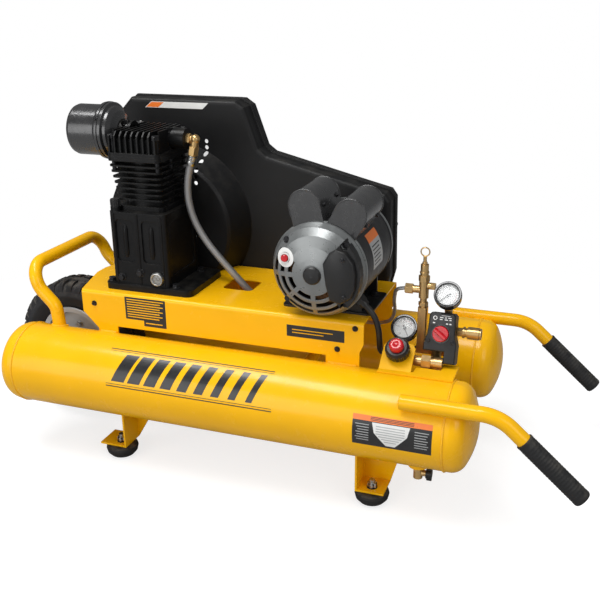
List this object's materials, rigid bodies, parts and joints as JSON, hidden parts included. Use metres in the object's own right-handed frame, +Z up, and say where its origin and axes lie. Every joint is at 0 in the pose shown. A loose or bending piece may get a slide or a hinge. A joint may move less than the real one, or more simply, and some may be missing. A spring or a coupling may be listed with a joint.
{
  "type": "air compressor",
  "caption": "Wheelbarrow-style portable air compressor with side-by-side tanks, a belt-driven piston pump behind a belt guard, an electric motor, gauges and a pressure switch.",
  "frame": {"origin": "centre of the overall box at floor level", "axes": "+X from the wheel to the handle grips, +Y from the controls side to the belt side, +Z up"},
  "size_m": [1.163, 0.4444, 0.665],
  "materials": {
    "yellow_paint": "semi-gloss golden-yellow enamel",
    "rubber_black": "matt black rubber",
    "tyre": "black treaded rubber",
    "rim_grey": "light grey enamel",
    "plain_steel": "machined steel",
    "black_bolt": "black oxide",
    "black_casting": "semi-gloss black enamel on cast iron",
    "black_satin": "satin black enamel",
    "grey_iron": "turned grey iron",
    "aluminium": "cast aluminium",
    "bell_silver": "silver-grey enamel on cast aluminium",
    "shell_grey": "dark grey enamel",
    "filter_foam": "pleated paper",
    "sight_glass": "clear moulded glass with oil behind it",
    "braid": "braided steel sleeve",
    "guard_plastic": "textured dark grey plastic",
    "copper_core": "laminated steel and varnished copper",
    "red_plastic": "glossy red plastic",
    "black_plastic": "black moulded plastic",
    "gloss_black": "glossy black plastic",
    "brass": "plain brass",
    "needle_black": "matt black",
    "gauge_glass": "clear lens",
    "tube_grey": "drawn aluminium tube",
    "lead_black": "black cable jacket"
  },
  "bodies": {
    "frame": {"tanks": "yellow_paint", "tank_fittings": "yellow_paint", "saddle": "yellow_paint", "lift_handle": "yellow_paint", "carry_handles": "yellow_paint", "grips": "rubber_black", "foot_brackets": "yellow_paint", "rubber_feet": "rubber_black", "hex_bolts": "black_bolt", "axle": "plain_steel", "crankcase": "black_casting", "bearing_cover": "black_casting", "ball_bearings": "plain_steel", "sight_glass": "sight_glass", "cylinder": "black_casting", "valve_plate": "plain_steel", "cylinder_head": "black_casting", "filter_cover": "black_satin", "filter_base": "black_satin", "filter_element": "filter_foam", "discharge_hose": "braid", "drive_belt": "rubber_black", "guard_front": "guard_plastic", "guard_back": "guard_plastic", "motor_shell": "shell_grey", "front_bell": "bell_silver", "rear_bell": "bell_silver", "stator_and_capacitors": "copper_core", "terminal_cover": "black_plastic", "capacitor_covers": "black_satin", "motor_base": "black_satin", "control_bracket": "yellow_paint", "regulator_body": "brass", "manifold": "brass", "brass_fittings": "brass", "safety_valve": "brass", "unloader_tube": "tube_grey", "gauge_cases": "gloss_black", "gauge_lenses": "gauge_glass", "switch_base": "black_plastic", "switch_cover": "black_plastic", "motor_lead": "lead_black"},
    "wheel": {"tyre": "tyre", "rim": "rim_grey"},
    "crank": {"crankshaft": "plain_steel", "flywheel": "grey_iron"},
    "motor_rotor": {"rotor": "plain_steel", "motor_pulley": "grey_iron"},
    "piston": {"piston": "aluminium", "connecting_rod": "aluminium"},
    "oil_plug": {"oil_plug": "black_plastic"},
    "reset_button": {"reset_button": "red_plastic"},
    "regulator_knob": {"regulator_knob": "black_plastic"},
    "outlet_needle": {"outlet_needle": "needle_black"},
    "tank_needle": {"tank_needle": "needle_black"},
    "safety_pin": {"safety_pin": "brass"},
    "switch_knob": {"switch_knob": "red_plastic"},
    "coupler_sleeve": {"coupler_sleeve": "brass"},
    "drain_knob_near": {"drain_knob_near": "black_plastic"},
    "drain_knob_far": {"drain_knob_far": "black_plastic"}
  },
  "joints": [
    {"name": "wheel_spin", "type": "hinge", "parent": "frame", "child": "wheel", "pos_m": [-0.45055, 0, 0.17], "axis": [0, 1, 0], "continuous": true},
    {"name": "crank_spin", "type": "hinge", "parent": "frame", "child": "crank", "pos_m": [-0.24855, 0, 0.417], "axis": [0, 1, 0], "continuous": true},
    {"name": "motor_spin", "type": "hinge", "parent": "frame", "child": "motor_rotor", "pos_m": [0.11145, 0, 0.4139], "axis": [0, 1, 0], "continuous": true},
    {"name": "piston_slide", "type": "slide", "parent": "frame", "child": "piston", "axis": [0, 0, -1], "range_m": [0, 0.044]},
    {"name": "oil_plug_turn", "type": "hinge", "parent": "frame", "child": "oil_plug", "pos_m": [-0.29655, -0.08, 0.476], "axis": [0, 0, 1], "range_deg": [0, 720]},
    {"name": "reset_press", "type": "slide", "parent": "frame", "child": "reset_button", "axis": [0, 1, 0], "range_m": [0, 0.002], "stiffness_N_per_m": 800},
    {"name": "regulator_turn", "type": "hinge", "parent": "frame", "child": "regulator_knob", "pos_m": [0.25045, -0.1039, 0.2747], "axis": [0, -0.6428, 0.766], "range_deg": [-720, 720]},
    {"name": "outlet_needle_turn", "type": "hinge", "parent": "frame", "child": "outlet_needle", "pos_m": [0.24545, -0.045, 0.298], "axis": [0, -0.766, 0.6428], "range_deg": [-270, 0]},
    {"name": "tank_needle_turn", "type": "hinge", "parent": "frame", "child": "tank_needle", "pos_m": [0.32145, -0.06, 0.373], "axis": [0, -0.766, 0.6428], "range_deg": [-270, 0]},
    {"name": "safety_pull", "type": "slide", "parent": "frame", "child": "safety_pin", "axis": [0, 0, 1], "range_m": [0, 0.004], "stiffness_N_per_m": 500},
    {"name": "switch_turn", "type": "hinge", "parent": "frame", "child": "switch_knob", "pos_m": [0.31645, -0.0799, 0.30899], "axis": [0, -0.9397, 0.342], "range_deg": [-90, 0]},
    {"name": "coupler_slide", "type": "slide", "parent": "frame", "child": "coupler_sleeve", "axis": [-1, 0, 0], "range_m": [0, 0.004], "stiffness_N_per_m": 400},
    {"name": "drain_turn_near", "type": "hinge", "parent": "frame", "child": "drain_knob_near", "pos_m": [0.30045, -0.144, 0.0748], "axis": [1, 0, 0], "range_deg": [0, 720]},
    {"name": "drain_turn_far", "type": "hinge", "parent": "frame", "child": "drain_knob_far", "pos_m": [0.30045, 0.144, 0.0748], "axis": [1, 0, 0], "range_deg": [0, 720]}
  ],
  "couplings": [
    {"joint": "motor_spin", "follows": "crank_spin", "ratio": 3.3333}
  ]
}
